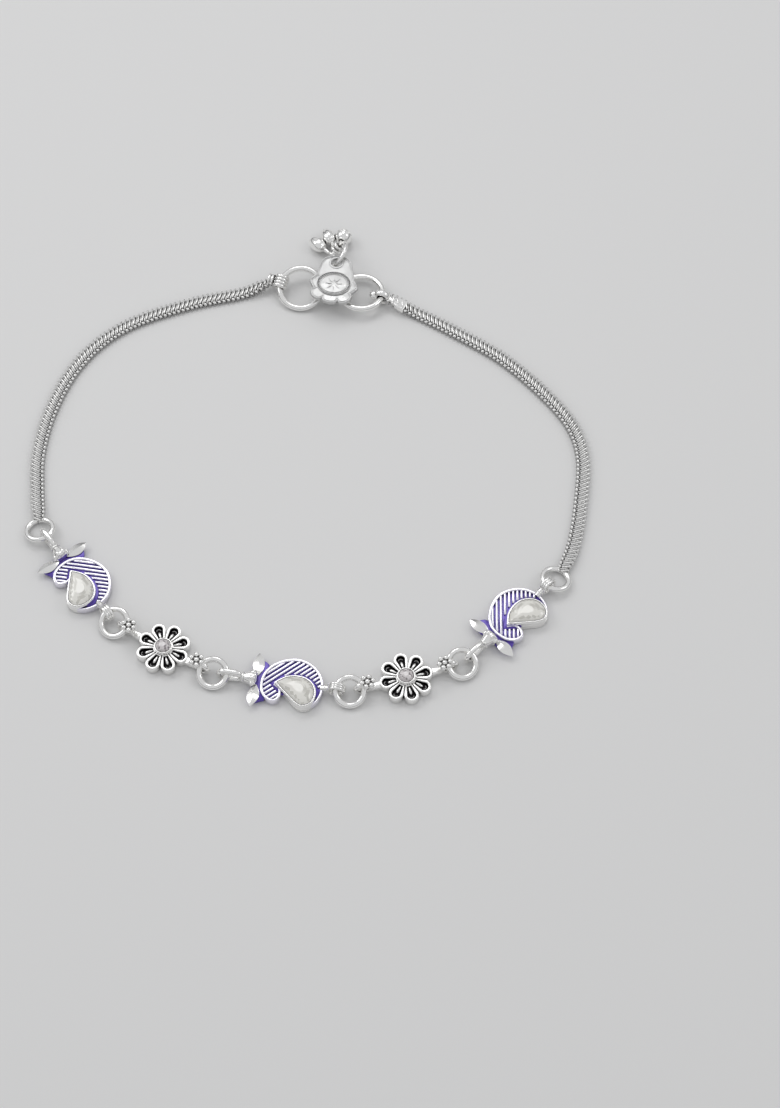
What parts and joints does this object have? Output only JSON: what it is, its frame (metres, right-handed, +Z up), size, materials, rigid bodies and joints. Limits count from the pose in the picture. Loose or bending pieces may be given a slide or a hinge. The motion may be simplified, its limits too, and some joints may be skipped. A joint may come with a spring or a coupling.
{
  "type": "payal anklet",
  "caption": "Closed silver payal anklet with enamelled paisleys, stone-set flowers, flat side chains and a clasp with dangles, lying flat.",
  "frame": {"origin": "centre of the anklet's box in plan, on the surface that it lies on", "axes": "+Z up from the surface, +Y towards the clasp and the wearer's heel, +X to the right seen from above"},
  "size_m": [0.0914, 0.092, 0.0049],
  "materials": {
    "silver": "polished silver, a little softened by wear",
    "oxidised_silver": "bright rims with blackened recesses",
    "purple_enamelled_silver": "glossy purple enamel between bright silver ribs",
    "clear_stone": "faceted, clear"
  },
  "bodies": {
    "root": {"left_chain": "silver", "right_chain": "silver", "jump_ring_1": "silver", "jump_ring_2": "silver", "jump_ring_3": "silver", "jump_ring_4": "silver", "clasp_ring_left": "silver", "clasp_ring_right": "silver", "clasp_tag": "silver", "dangle_ring": "silver", "dangle_bud_1": "silver", "dangle_bud_2": "silver", "dangle_ball": "silver", "paisley_1": "purple_enamelled_silver", "paisley_2": "purple_enamelled_silver", "paisley_3": "purple_enamelled_silver", "flower_1": "oxidised_silver", "flower_2": "oxidised_silver", "paisley_1_stone": "clear_stone", "paisley_2_stone": "clear_stone", "paisley_3_stone": "clear_stone", "flower_1_stone": "clear_stone", "flower_2_stone": "clear_stone"}
  },
  "joints": []
}
